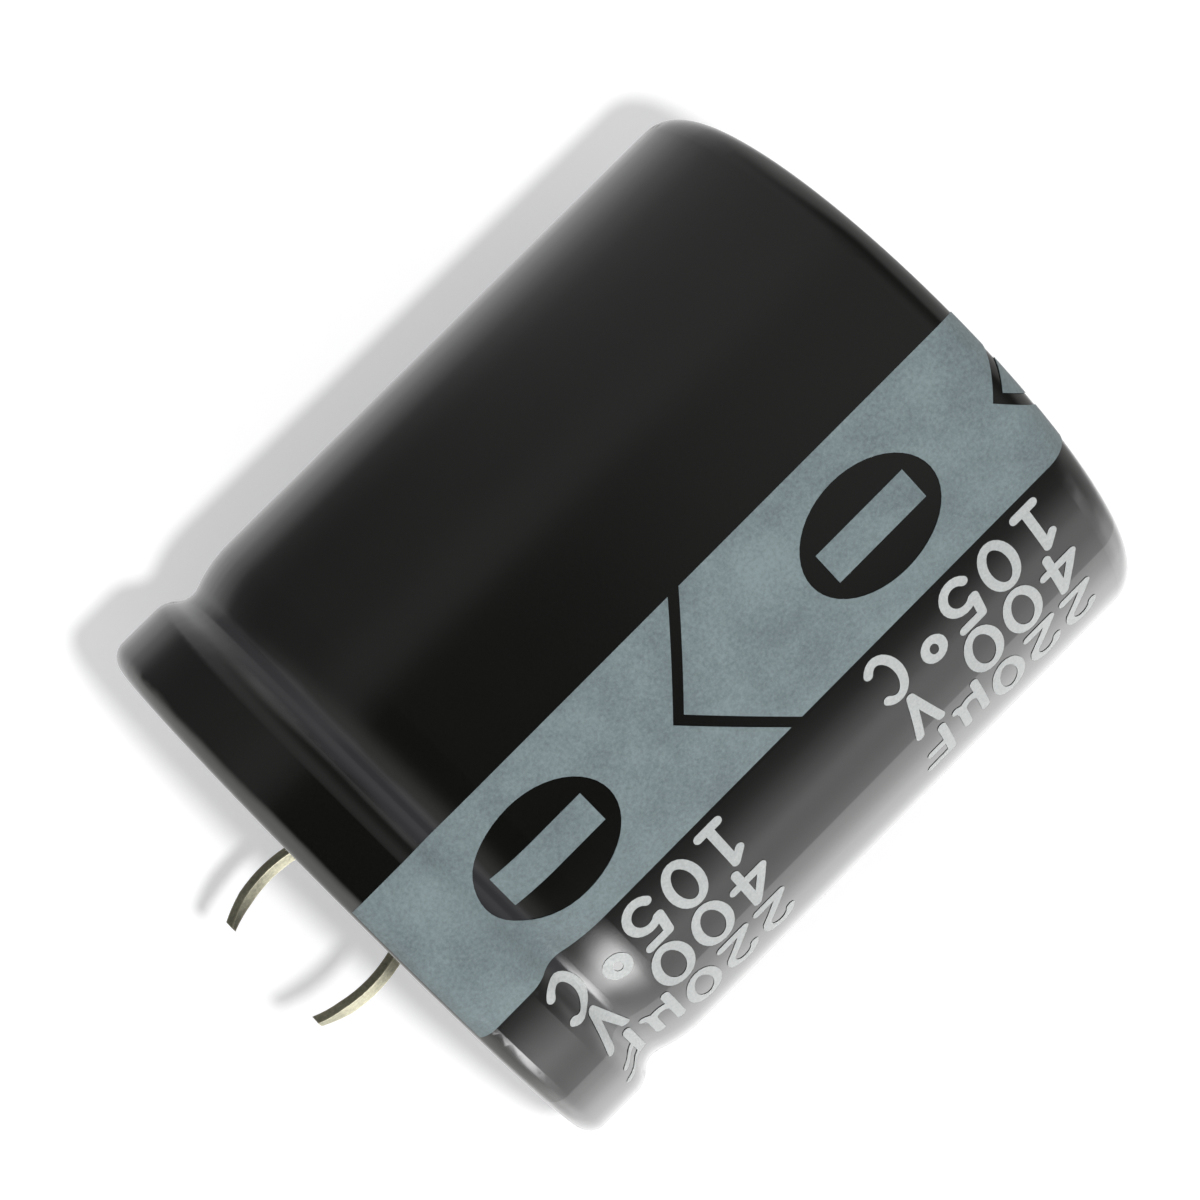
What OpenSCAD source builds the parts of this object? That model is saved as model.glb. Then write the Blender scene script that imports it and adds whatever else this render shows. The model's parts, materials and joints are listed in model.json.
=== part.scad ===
// Snap-in aluminium electrolytic capacitor, 35 mm by 40 mm size, with all of its inner pieces.
// The board's surface is z = 0, the terminals point down and lie on the X axis, the negative one at +X.
// Millimetres.

/* [Can] */
// Outside diameter of the drawn aluminium can
can_d = 35; // [33:0.5:40]
// Height of the can from the curled rim to the closed end
can_h = 41; // [36:0.2:60]
// Thickness of the can's wall and end
can_t = 0.5; // [0.4:0.05:0.6]
// Outside radius of the edge between the wall and the closed end
can_corner_r = 1.5; // [1.2:0.1:2.5]
// Length of each score line of the pressure vent
vent_l = 15; // [10:0.5:18]
// Width of a score line
vent_w = 0.6; // [0.3:0.1:1]
// Depth of a score line
vent_depth = 0.22; // [0.1:0.02:0.3]

/* [Bead and curl] */
// Depth of the bead in the can's outside
bead_depth = 1.5; // [1.2:0.1:1.6]
// Radius of the hollow of the bead
bead_r = 0.9; // [0.8:0.05:1]
// Radius of the bead's shoulder on the side of the curl
bead_lower_r = 1.1; // [1:0.1:1.3]
// Radius of the bead's gentle shoulder on the side of the closed end
bead_upper_r = 3.2; // [2.4:0.1:3.4]
// Height by which the rim below the bead stands out beyond the wall
rim_out = 0.2; // [0.1:0.05:0.3]
// Outside radius of the curl at the open end
curl_r = 0.8; // [0.75:0.05:1]
// Width of the flat between the curl's two bends
curl_flat = 0.4; // [0.3:0.05:0.8]
// Depth to which the curled lip bites into the rubber
lip_bite = 0.3; // [0.1:0.05:0.5]

/* [Sleeve] */
// Thickness of the shrunk sleeve
sleeve_t = 0.25; // [0.15:0.05:0.35]
// Depth of the groove where the sleeve sinks into the bead
groove_depth = 0.6; // [0.4:0.05:0.7]
// Radius of the hollow of that groove
groove_r = 1.2; // [0.9:0.1:1.3]
// Reach of the sleeve's fold on the closed end, in from the can's wall
fold_top_w = 3.2; // [2.8:0.1:5]
// Width of the sleeve's flat fold under the curl
fold_base_w = 0.65; // [0.4:0.05:0.7]

/* [Polarity print] */
// Thickness of the ink
ink_t = 0.05; // [0.04:0.01:0.08]
// Width of the pale band round the sleeve
band_w = 9.3; // [8:0.1:12]
// Direction of the band's middle, measured from the negative terminal
band_turn = -38; // [-60:1:60]
// Height of the first minus sign
mark_z = 8.9; // [8.6:0.1:10]
// Distance from one sign to the next
mark_pitch = 22.2; // [20:0.1:24]
// Width of the dark oval round a minus sign
oval_w = 5.9; // [5:0.1:7]
// Height of the oval
oval_h = 8.3; // [7:0.1:9]
// Width of the minus sign's bar, which runs along the can
bar_w = 1.85; // [1.4:0.05:2.2]
// Length of the bar
bar_l = 6; // [5:0.1:6.4]
// Height of the point of the first arrow line
arrow_z = 17.4; // [16.5:0.1:19]
// Height of an arrow's arms above its point
arrow_rise = 4.2; // [3:0.1:5]
// Width of the arrow line, measured along the can
arrow_line = 0.75; // [0.5:0.05:1]

/* [Cover plate] */
// Thickness of the rubber facing
rubber_t = 1; // [0.7:0.05:1.3]
// Thickness of the phenolic plate
phenolic_t = 1.75; // [1:0.05:2.2]
// Height of the rubber's face above the middle of the curl
deck_lift = 0.2; // [0.05:0.05:0.4]
// Gap between the phenolic plate's rim and the can
deck_gap = 0.1; // [0.05:0.05:0.2]
// Bevel on the plate's inner edge, under the bead
deck_bevel = 0.3; // [0.25:0.05:0.5]
// Play between that bevel and the bead
bead_play = 0.04; // [0.02:0.01:0.1]

/* [Terminals] */
// Distance between the two terminals
pitch = 10; // [9:0.1:11]
// Reach of a terminal below the board's surface
blade_l = 5.7; // [4:0.1:7]
// Width of a blade
blade_w = 0.8; // [0.7:0.1:1.6]
// Thickness of the tinned sheet that a terminal is stamped from
blade_t = 0.5; // [0.4:0.05:0.6]
// Inside radius of the bend between the blade and the riveted plate
bend_r = 0.4; // [0.3:0.05:0.5]
// Radius to which a blade is bowed
bow_r = 6.6; // [6:0.1:9]
// Depth below the board's surface at which the bow is widest
bow_z = 2.4; // [1.8:0.1:2.8]
// Width of a blade at its tip
tip_w = 0.4; // [0.3:0.05:0.6]
// Length of the tip's taper
tip_l = 1.6; // [1:0.1:2.5]
// Diameter of the riveted plate
plate_d = 4.8; // [4.4:0.1:5]

/* [Rivets] */
// Distance from a blade's place on the board to its rivet
rivet_step = 3; // [2.8:0.1:3.4]
// Diameter of a rivet's shank
rivet_d = 2.4; // [2:0.1:2.6]
// Diameter of the head inside the can
head_d = 4.4; // [4:0.1:5]
// Thickness of the inside head
head_t = 0.8; // [0.6:0.05:1]
// Diameter of the head closed over the terminal
closed_d = 3.8; // [3.4:0.1:4.2]
// Thickness of the closed head
closed_t = 0.45; // [0.3:0.05:0.6]
// Diameter of the washer over the lead tabs
washer_d = 5.2; // [4.8:0.1:5.6]
// Thickness of that washer
washer_t = 0.5; // [0.4:0.05:0.8]

/* [Winding] */
// Gap between the wound foil and paper and the can's wall
roll_gap = 1.1; // [0.3:0.1:2]
// Diameter of the hole that the winding pin leaves
core_d = 3.6; // [3:0.1:4.5]
// Height of the winding's lower end above the middle of the bead
roll_lift = 3.2; // [3:0.1:4]
// Play between the winding and the can's closed end
roll_play = 0.05; // [0.02:0.01:0.3]
// Distance between turns in the spiral at the winding's ends
turn_pitch = 1.3; // [1.2:0.1:2]
// Width of the hollow between those turns
turn_gap = 0.45; // [0.3:0.05:0.6]
// Depth of that hollow
turn_depth = 0.5; // [0.3:0.1:0.8]
// Thickness of the tape that closes the winding
tape_t = 0.1; // [0.08:0.02:0.1]
// Width of that tape
tape_w = 18; // [14:0.5:22]
// Thickness of a lead tab
tab_t = 0.25; // [0.2:0.05:0.3]
// Width of a lead tab
tab_w = 4.5; // [4:0.1:5]
// Inside radius of the tab's bend
tab_bend_r = 0.5; // [0.4:0.05:0.7]
// Depth to which a tab is wound into the roll
tab_sunk = 8; // [6:0.5:10]
// Distance from a rivet to where each of its two tabs leaves the winding
tab_spread = 4; // [3.6:0.1:4.4]
// Reach of a tab past the rivet's middle
tab_reach = 2.5; // [2.2:0.1:2.8]

/* [Hidden] */
$fn = 96;
// Room that a cutting shape has beyond the piece it cuts
over = 1;
// Ends of the can
can_r = can_d / 2;
can_z = sleeve_t;
can_top = can_z + can_h;
top = can_top + sleeve_t;
// Middles of the curl's two bends
rim_r = can_r + rim_out;
curl_z = can_z + curl_r;
curl_outer_x = rim_r - curl_r;
curl_inner_x = curl_outer_x - curl_flat;
lip_x = curl_inner_x - curl_r;
// Levels of the stack that each rivet clamps
deck_z = curl_z + deck_lift;
plate_z = deck_z - blade_t;
closed_z = plate_z - closed_t;
phenolic_z = deck_z + rubber_t;
deck_top = phenolic_z + phenolic_t;
washer_z = deck_top + 2 * tab_t;
head_z = washer_z + washer_t;
rivet_x = pitch / 2 + rivet_step;
tab_outer_x = rivet_x + tab_spread;
tab_inner_x = rivet_x - tab_spread;
// Share of a closed head's thickness that is a straight rim under its domed face
head_rim = 0.4;
// Middle of the bead, which just clears the plate's bevel and so holds the plate in
plate_r = can_r - can_t - deck_gap;
bead_x = can_r - bead_depth + bead_r;
bead_z = deck_top + bead_play + sqrt(pow(bead_r + can_t, 2) - pow(bead_x - plate_r + deck_bevel, 2));
// Shoulders of the sleeve's groove, which leave the can where the bead's shoulders do
groove_lower_r = shoulder(rise(bead_depth + rim_out, bead_r + bead_lower_r), groove_depth + rim_out)
    - groove_r - sleeve_t;
groove_upper_r = shoulder(rise(bead_depth, bead_r + bead_upper_r), groove_depth) - groove_r - sleeve_t;
sleeve_r = can_r + sleeve_t;
fold_top_r = can_r - fold_top_w;
roll_d = can_d - 2 * (can_t + roll_gap);
roll_z = bead_z + roll_lift;
roll_top = can_top - can_t - roll_play;
// Angle that the band covers round the sleeve
band_angle = band_w / sleeve_r * 180 / PI;
// Ends of the band: just above the base flat, and just short of the flat of the closed end's fold
band_low = 0.15;
band_short = 0.5;
oval_points = 48;
turn_points = 24;

// Height of a shoulder above the middle of a bead, and the two radii's sum that gives such a height
function rise(depth, radii) = sqrt(2 * radii * depth - depth * depth);
function shoulder(height, depth) = (height * height + depth * depth) / (2 * depth);

// Everything inside the can's outside when that is let out by a distance, with a bead of that depth.
// The three radii are the bead's hollow and its two shoulders, before the outline is let out.
module outline(out, depth, hollow, lower, upper) {
    hollow_x = can_r - depth + hollow;
    low = [rim_r - lower, bead_z - rise(depth + rim_out, hollow + lower)];
    high = [can_r - upper, bead_z + rise(depth, hollow + upper)];
    middle = [hollow_x, bead_z];
    low_meet = middle + (low - middle) * (hollow - out) / (hollow + lower);
    high_meet = middle + (high - middle) * (hollow - out) / (hollow + upper);
    corner_z = can_top - can_corner_r;
    corner_x = can_r - can_corner_r;
    translate([0, curl_z]) square([rim_r + out, low.y - curl_z]);
    translate([0, can_z - out]) square([curl_outer_x, low.y - can_z + out]);
    translate([curl_outer_x, curl_z]) circle(curl_r + out);
    translate([0, high.y]) square([can_r + out, corner_z - high.y]);
    translate([0, high.y]) square([corner_x, can_top + out - high.y]);
    translate([corner_x, corner_z]) circle(can_corner_r + out);
    translate(low) circle(lower + out);
    translate(high) circle(upper + out);
    difference() {
        polygon([[0, low.y], low, low_meet, high_meet, high, [0, high.y]]);
        translate(middle) circle(hollow - out);
    }
}

// The can's wall surface, let out or taken in
module can_outline(out) {
    outline(out, bead_depth, bead_r, bead_lower_r, bead_upper_r);
}

// A surface of the sleeve, let out from its inner face, which bridges the bead
module sleeve_outline(out) {
    outline(out, groove_depth, groove_r + sleeve_t, groove_lower_r, groove_upper_r);
}

// Heat-shrunk sleeve, folded over the closed end and under the curl
module sleeve() {
    color([0.09, 0.09, 0.09]) rotate_extrude() difference() {
        sleeve_outline(sleeve_t);
        sleeve_outline(0);
        translate([0, can_top - over]) square([fold_top_r, sleeve_t + 2 * over]);
        translate([0, -over]) square([curl_outer_x - fold_base_w, sleeve_t + 2 * over]);
    }
}

// Arrow line, drawn flat: a V that points at the terminals
module arrow_line_outline(z) {
    half = band_w / 2 + over;
    rise = arrow_rise * half / (band_w / 2);
    polygon([[0, z], [half, z + rise], [half, z + rise + arrow_line], [0, z + arrow_line],
        [-half, z + rise + arrow_line], [-half, z + rise]]);
}

// Minus sign: a dark oval with a pale bar in it
module minus_outline(z) {
    translate([0, z]) difference() {
        polygon([for (i = [0 : oval_points - 1])
            [oval_w / 2 * cos(i * 360 / oval_points), oval_h / 2 * sin(i * 360 / oval_points)]]);
        translate([-bar_w / 2, -bar_l / 2]) square([bar_w, bar_l]);
    }
}

// Film of ink on the part of the sleeve that the band covers
module ink_film() {
    rotate([0, 0, -band_angle / 2]) rotate_extrude(angle = band_angle) difference() {
        sleeve_outline(sleeve_t + ink_t);
        sleeve_outline(sleeve_t);
        translate([0, -over]) square([sleeve_r + over, over + band_low]);
        translate([0, top - over]) square([can_r - can_corner_r + band_short, 2 * over]);
        square([curl_outer_x, curl_z]);
    }
}

// Pale polarity band with its minus signs and arrow lines left dark
module polarity_band() {
    color([0.5, 0.56, 0.58]) rotate([0, 0, band_turn]) difference() {
        ink_film();
        for (i = [0, 1]) rotate([90, 0, 90]) linear_extrude(sleeve_r + over) {
            minus_outline(mark_z + i * mark_pitch);
            arrow_line_outline(arrow_z + i * mark_pitch);
        }
    }
}

// Hollow inside the can and inside its curl
module can_hollow() {
    wall = curl_r - can_t;
    difference() {
        can_outline(-can_t);
        square([curl_outer_x, deck_z + lip_bite]);
    }
    translate([curl_outer_x, curl_z]) circle(wall);
    translate([curl_inner_x, curl_z]) circle(wall);
    translate([curl_inner_x, curl_z - wall]) square([curl_flat, 2 * wall]);
    translate([curl_inner_x - wall, curl_z])
        square([curl_flat + 2 * wall, deck_z + lip_bite - curl_z + over]);
    square([lip_x, deck_z + over]);
}

// Drawn aluminium can with a rolled bead, a curled lip and a scored vent in its closed end
module can() {
    color([0.8, 0.81, 0.82]) difference() {
        rotate_extrude() difference() {
            can_outline(0);
            can_hollow();
            difference() {
                translate([0, -over]) square([curl_inner_x, curl_z + over]);
                translate([curl_inner_x, curl_z]) circle(curl_r);
            }
        }
        for (turn = [0, 90]) rotate([0, 0, turn])
            translate([-vent_l / 2, -vent_w / 2, can_top - vent_depth]) cube([vent_l, vent_w, over]);
    }
}

// Through holes for the two rivets
module rivet_holes(z_low, thickness) {
    for (side = [-1, 1]) translate([side * rivet_x, 0, z_low - over])
        cylinder(d = rivet_d, h = thickness + 2 * over);
}

// Rubber facing of the cover plate, with the ring that the curled lip presses into it
module rubber_seal() {
    color([0.13, 0.13, 0.13]) difference() {
        translate([0, 0, deck_z]) cylinder(r = rim_r - can_t, h = rubber_t);
        rivet_holes(deck_z, rubber_t);
        rotate_extrude() translate([lip_x, deck_z - over]) square([can_t, lip_bite + over]);
    }
}

// Phenolic plate, held between the rubber and the bead
module phenolic_plate() {
    color([0.42, 0.25, 0.13]) difference() {
        rotate_extrude() polygon([[0, phenolic_z], [plate_r, phenolic_z], [plate_r, deck_top - deck_bevel],
            [plate_r - deck_bevel, deck_top], [0, deck_top]]);
        rivet_holes(phenolic_z, phenolic_t);
    }
}

// Terminal from the side: a bowed blade, a bend and the flat that carries on to the rivet
module terminal_side() {
    bend = bend_r + blade_t / 2;
    bow = [pitch / 2 - bow_r, -bow_z];
    bend_z = deck_z - blade_t / 2 - bend;
    turn = [bow.x + sqrt(pow(bow_r + bend, 2) - pow(bend_z - bow.y, 2)), bend_z];
    above = bow.y + 2 * bow_r;
    difference() {
        union() {
            translate(bow) circle(bow_r + blade_t / 2);
            polygon([bow, turn, [turn.x, deck_z], [bow.x, deck_z]]);
            translate([turn.x - bend_r, plate_z]) square([rivet_x - turn.x + bend_r, blade_t]);
        }
        translate(bow) circle(bow_r - blade_t / 2);
        translate(turn) circle(bend_r);
        difference() {
            polygon([bow, turn, [turn.x, above], [bow.x, above]]);
            translate(turn) circle(bend_r + blade_t);
        }
    }
}

// Face of a blade: straight, then tapered to the tip
module blade_face() {
    polygon([[-blade_w / 2, deck_z + over], [-blade_w / 2, tip_l - blade_l], [-tip_w / 2, -blade_l],
        [tip_w / 2, -blade_l], [blade_w / 2, tip_l - blade_l], [blade_w / 2, deck_z + over]]);
}

// Stamped terminal for the +X side: a round plate for the rivet and a bowed blade beside it
module terminal() {
    difference() {
        union() {
            intersection() {
                rotate([90, 0, 0]) linear_extrude(blade_w + over, center = true) terminal_side();
                rotate([90, 0, 90]) linear_extrude(rivet_x) blade_face();
            }
            translate([rivet_x, 0, plate_z]) cylinder(d = plate_d, h = blade_t);
        }
        translate([rivet_x, 0, plate_z - over]) cylinder(d = rivet_d, h = blade_t + 2 * over);
    }
}

// Aluminium rivet for the +X side, from its closed head under the terminal to its head inside the can
module rivet() {
    translate([rivet_x, 0, 0]) rotate_extrude() polygon([
        [0, closed_z], [closed_d / 2 - closed_t * (1 - head_rim), closed_z],
        [closed_d / 2, plate_z - closed_t * head_rim], [closed_d / 2, plate_z], [rivet_d / 2, plate_z],
        [rivet_d / 2, head_z], [head_d / 2, head_z], [head_d / 2, head_z + head_t * head_rim],
        [head_d / 2 - head_t * (1 - head_rim), head_z + head_t], [0, head_z + head_t]]);
}

// Washer between a rivet's inside head and the lead tabs
module washer() {
    translate([rivet_x, 0, washer_z]) difference() {
        cylinder(d = washer_d, h = washer_t);
        translate([0, 0, -over]) cylinder(d = rivet_d, h = washer_t + 2 * over);
    }
}

// Filled corner of a bent strip, one sheet's thickness in when inset is that thickness
module bent_corner(inset, width, height) {
    bend = tab_bend_r + tab_t;
    translate([bend, inset]) square([width - bend, height - inset]);
    translate([inset, bend]) square([width - inset, height - bend]);
    translate([bend, bend]) circle(bend - inset);
}

// Lead tab for the +X side: down out of the winding, round a bend and flat under the washer.
// x is where it leaves the winding, and layer 0 or 1 its place in the stack.
module lead_tab(x, layer) {
    z = deck_top + layer * tab_t;
    width = abs(rivet_x - x) + tab_reach;
    height = roll_z + tab_sunk - z;
    difference() {
        translate([x, 0, z]) mirror([x > rivet_x ? 1 : 0, 0, 0]) rotate([90, 0, 0])
            linear_extrude(tab_w, center = true) difference() {
                bent_corner(0, width, height);
                bent_corner(tab_t, width + over, height + over);
            }
        translate([rivet_x, 0, z - over]) cylinder(d = rivet_d, h = tab_t + 2 * over);
    }
}

// All four lead tabs, as the slots that they need in the winding
module all_tabs() {
    for (side = [0, 1]) mirror([side, 0, 0]) {
        lead_tab(tab_outer_x, 0);
        lead_tab(tab_inner_x, 1);
    }
}

// Points of one side of the spiral, at a distance out from its line
function spiral_side(turns, out) = [for (i = [0 : turns * turn_points])
    let (r = core_d / 2 + turn_pitch * (1 + i / turn_points) + out, a = i * 360 / turn_points)
        [r * cos(a), r * sin(a)]];
function reversed(points) = [for (i = [len(points) - 1 : -1 : 0]) points[i]];

// Spiral hollow between the paper's edges at one end of the winding
module spiral_outline() {
    turns = floor((roll_d - core_d) / 2 / turn_pitch) - 2;
    polygon(concat(spiral_side(turns, turn_gap / 2), reversed(spiral_side(turns, -turn_gap / 2))));
}

// Wound foil and paper, with the winding pin's hole and the slots of the four tabs
module winding() {
    color([0.83, 0.78, 0.66]) difference() {
        translate([0, 0, roll_z]) cylinder(d = roll_d, h = roll_top - roll_z);
        translate([0, 0, roll_z - over]) cylinder(d = core_d, h = roll_top - roll_z + 2 * over);
        all_tabs();
        translate([0, 0, roll_z - over]) linear_extrude(over + turn_depth) spiral_outline();
        translate([0, 0, roll_top - turn_depth]) linear_extrude(over + turn_depth) spiral_outline();
    }
}

// Tape that holds the winding closed
module winding_tape() {
    color([0.85, 0.75, 0.35]) translate([0, 0, (roll_z + roll_top - tape_w) / 2]) difference() {
        cylinder(d = roll_d + 2 * tape_t, h = tape_w);
        translate([0, 0, -over]) cylinder(d = roll_d, h = tape_w + 2 * over);
    }
}

tin = [0.72, 0.71, 0.66];
aluminium = [0.82, 0.83, 0.84];
sleeve();
polarity_band();
can();
rubber_seal();
phenolic_plate();
color(tin) terminal();  // terminal_negative
color(tin) mirror([1, 0, 0]) terminal();  // terminal_positive
color(aluminium) rivet();  // rivet_negative
color(aluminium) mirror([1, 0, 0]) rivet();  // rivet_positive
color(aluminium) washer();  // washer_negative
color(aluminium) mirror([1, 0, 0]) washer();  // washer_positive
color(aluminium) lead_tab(tab_outer_x, 0);  // lead_tab_negative_outer
color(aluminium) lead_tab(tab_inner_x, 1);  // lead_tab_negative_inner
color(aluminium) mirror([1, 0, 0]) lead_tab(tab_outer_x, 0);  // lead_tab_positive_outer
color(aluminium) mirror([1, 0, 0]) lead_tab(tab_inner_x, 1);  // lead_tab_positive_inner
winding();
winding_tape();
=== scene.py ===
"""Snap-in electrolytic capacitor: looks, lettering, light and camera round the frame made in CAD."""

import json
import logging
import math
from dataclasses import dataclass, field
from enum import Enum
from typing import Any, Callable, Iterable, Union

import bmesh
import bpy
from mathutils import Matrix, Vector
from mathutils.bvhtree import BVHTree

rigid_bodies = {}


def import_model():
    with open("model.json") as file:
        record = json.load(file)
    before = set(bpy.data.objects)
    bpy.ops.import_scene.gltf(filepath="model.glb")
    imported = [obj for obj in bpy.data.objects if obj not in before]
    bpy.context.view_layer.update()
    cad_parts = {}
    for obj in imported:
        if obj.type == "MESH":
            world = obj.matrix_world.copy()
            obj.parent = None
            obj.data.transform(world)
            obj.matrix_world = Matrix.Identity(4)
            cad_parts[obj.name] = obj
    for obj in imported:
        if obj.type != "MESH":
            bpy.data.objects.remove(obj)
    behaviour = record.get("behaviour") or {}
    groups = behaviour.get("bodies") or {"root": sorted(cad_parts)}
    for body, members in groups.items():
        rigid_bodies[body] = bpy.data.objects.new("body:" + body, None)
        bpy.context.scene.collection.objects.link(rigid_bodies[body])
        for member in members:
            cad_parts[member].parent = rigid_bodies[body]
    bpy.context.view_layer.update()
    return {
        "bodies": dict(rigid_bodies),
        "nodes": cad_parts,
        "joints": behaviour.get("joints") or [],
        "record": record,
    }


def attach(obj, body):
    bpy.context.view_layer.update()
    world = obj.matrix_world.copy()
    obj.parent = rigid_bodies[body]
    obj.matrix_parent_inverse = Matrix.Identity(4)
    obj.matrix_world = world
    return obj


LOG = logging.getLogger("capacitor")
MM = 0.001
Colour = tuple[int, int, int]
Light = tuple[float, float, float, float]
Point = tuple[float, float]
Span = tuple[float, float]
Stops = tuple[tuple[float, float], ...]
Socket = bpy.types.NodeSocket
Value = Union[Socket, float]
Shade = Union[Socket, Light]

WEAR_GAIN = 4.0
RING_SWAY = 0.0006
GRAIN_SHARE = 0.6
GRAIN_RANGE = (0.35, 0.65)


def srgb(red: int, green: int, blue: int) -> Light:
    """Turns an 8-bit display colour into the linear colour that a shader takes.

    Args:
        red: Red, 0 to 255.
        green: Green, 0 to 255.
        blue: Blue, 0 to 255.

    Returns:
        Linear red, green, blue and an alpha of 1.
    """

    def channel(value: int) -> float:
        """Turns one channel."""
        part = value / 255
        return part / 12.92 if part <= 0.04045 else ((part + 0.055) / 1.055) ** 2.4

    return (channel(red), channel(green), channel(blue), 1.0)


@dataclass(frozen=True)
class CanSize:
    """Sizes of the sleeved can, in millimetres, as the CAD has them.

    Attributes:
        radius: Outside radius of the sleeve above the bead.
        camera_turn: Direction of the photo's camera round the can, in degrees from +X.
    """

    radius: float = 17.75
    camera_turn: float = -55.0

    def direction(self, turn: float) -> Vector:
        """Gives a level direction.

        Args:
            turn: Angle in degrees from the camera's side, growing to the right of its picture.

        Returns:
            A unit vector in the row frame.
        """
        angle = math.radians(self.camera_turn + turn)
        return Vector((math.cos(angle), math.sin(angle), 0.0))


CAN = CanSize()


class Nodes:
    """Short way to add and link the nodes of one node tree."""

    def __init__(self, tree: bpy.types.NodeTree) -> None:
        """Keeps the tree.

        Args:
            tree: Node tree that the nodes go into.
        """
        self.tree = tree

    def add(self, kind: str, **settings: Any) -> bpy.types.Node:
        """Adds a node.

        Args:
            kind: Node type, such as "ShaderNodeTexNoise".
            **settings: Properties of the node, or of an input if the name starts with "in_".

        Returns:
            The new node.
        """
        node = self.tree.nodes.new(kind)
        for name, value in settings.items():
            if name.startswith("in_"):
                node.inputs[name[3:].replace("_", " ")].default_value = value
            else:
                setattr(node, name, value)
        return node

    def link(self, source: Socket, target: Socket) -> None:
        """Links an output to an input.

        Args:
            source: Output socket.
            target: Input socket.
        """
        self.tree.links.new(source, target)

    def math(self, operation: str, first: Value, second: Value | None = None) -> Socket:
        """Adds a calculation.

        Args:
            operation: Blender's name of it, such as "MULTIPLY".
            first: First value or socket.
            second: Second value or socket, if it takes one.

        Returns:
            The result's socket.
        """
        node = self.add("ShaderNodeMath", operation=operation)
        for index, value in enumerate((first, second)):
            if isinstance(value, (int, float)):
                node.inputs[index].default_value = value
            elif value is not None:
                self.link(value, node.inputs[index])
        return node.outputs[0]

    def dot(self, source: Socket, vector: Iterable[float]) -> Socket:
        """Adds the dot product of a socket and a fixed vector.

        Args:
            source: Vector socket.
            vector: Fixed vector.

        Returns:
            The value's socket.
        """
        node = self.add("ShaderNodeVectorMath", operation="DOT_PRODUCT")
        self.link(source, node.inputs[0])
        node.inputs[1].default_value = tuple(vector)
        return node.outputs["Value"]

    def step(self, value: Socket, start: float, end: float) -> Socket:
        """Adds a smooth step from 0 to 1.

        Args:
            value: Socket that drives it.
            start: Value at which the step is 0.
            end: Value at which it is 1, which may be the lower one.

        Returns:
            The step's socket.
        """
        node = self.add("ShaderNodeMapRange", interpolation_type="SMOOTHSTEP")
        node.inputs["From Min"].default_value = start
        node.inputs["From Max"].default_value = end
        self.link(value, node.inputs["Value"])
        return node.outputs[0]

    def ramp(self, value: Socket, stops: Stops) -> Socket:
        """Adds a smooth grey ramp.

        Args:
            value: Socket from 0 to 1.
            stops: Places and grey levels, in order.

        Returns:
            The grey's socket.
        """
        node = self.add("ShaderNodeValToRGB")
        node.color_ramp.interpolation = "EASE"
        points = node.color_ramp.elements
        while len(points) < len(stops):
            points.new(0.5)
        for point, (place, level) in zip(points, stops):
            point.position = place
            point.color = (level, level, level, 1.0)
        self.link(value, node.inputs[0])
        return node.outputs[0]

    def mix(self, factor: Value, first: Shade, second: Shade) -> Socket:
        """Adds a mix of two colours.

        Args:
            factor: Number or socket from 0 to 1.
            first: Colour or socket at 0.
            second: Colour or socket at 1.

        Returns:
            The colour's socket.
        """
        node = self.add("ShaderNodeMix", data_type="RGBA")
        for place, value in ((0, factor), (6, first), (7, second)):
            if isinstance(value, Socket):
                self.link(value, node.inputs[place])
            else:
                node.inputs[place].default_value = value
        return node.outputs[2]


def effect_group(name: str, inputs: dict[str, float], outputs: dict[str, str],
                 fill: Callable[[Nodes, bpy.types.Node, bpy.types.Node], None]) -> bpy.types.NodeTree:
    """Makes a shared shader group once.

    Args:
        name: Name of the group.
        inputs: Value inputs with their defaults.
        outputs: Outputs with their socket types.
        fill: Builds the inside from the nodes, the group's input and the group's output.

    Returns:
        The group's node tree.
    """
    tree = bpy.data.node_groups.new(name, "ShaderNodeTree")
    for label, value in inputs.items():
        socket = tree.interface.new_socket(label, in_out="INPUT", socket_type="NodeSocketFloat")
        socket.default_value = value
    for label, kind in outputs.items():
        tree.interface.new_socket(label, in_out="OUTPUT", socket_type=kind)
    nodes = Nodes(tree)
    fill(nodes, nodes.add("NodeGroupInput"), nodes.add("NodeGroupOutput"))
    return tree


def fill_grain(nodes: Nodes, given: bpy.types.Node, result: bpy.types.Node) -> None:
    """Fills the group for fine grain and slow blotches.

    Args:
        nodes: Nodes of the group.
        given: Group input, with Scale per metre and Blotch per metre.
        result: Group output, with Grain and Blotch from 0 to 1.
    """
    place = nodes.add("ShaderNodeTexCoord")
    for label, detail, roughness in (("Grain", 3.0, 0.7), ("Blotch", 2.0, 0.5)):
        noise = nodes.add("ShaderNodeTexNoise", in_Detail=detail, in_Roughness=roughness)
        nodes.link(place.outputs["Object"], noise.inputs["Vector"])
        nodes.link(given.outputs[label + " Scale"], noise.inputs["Scale"])
        nodes.link(noise.outputs["Fac"], result.inputs[label])


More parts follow.
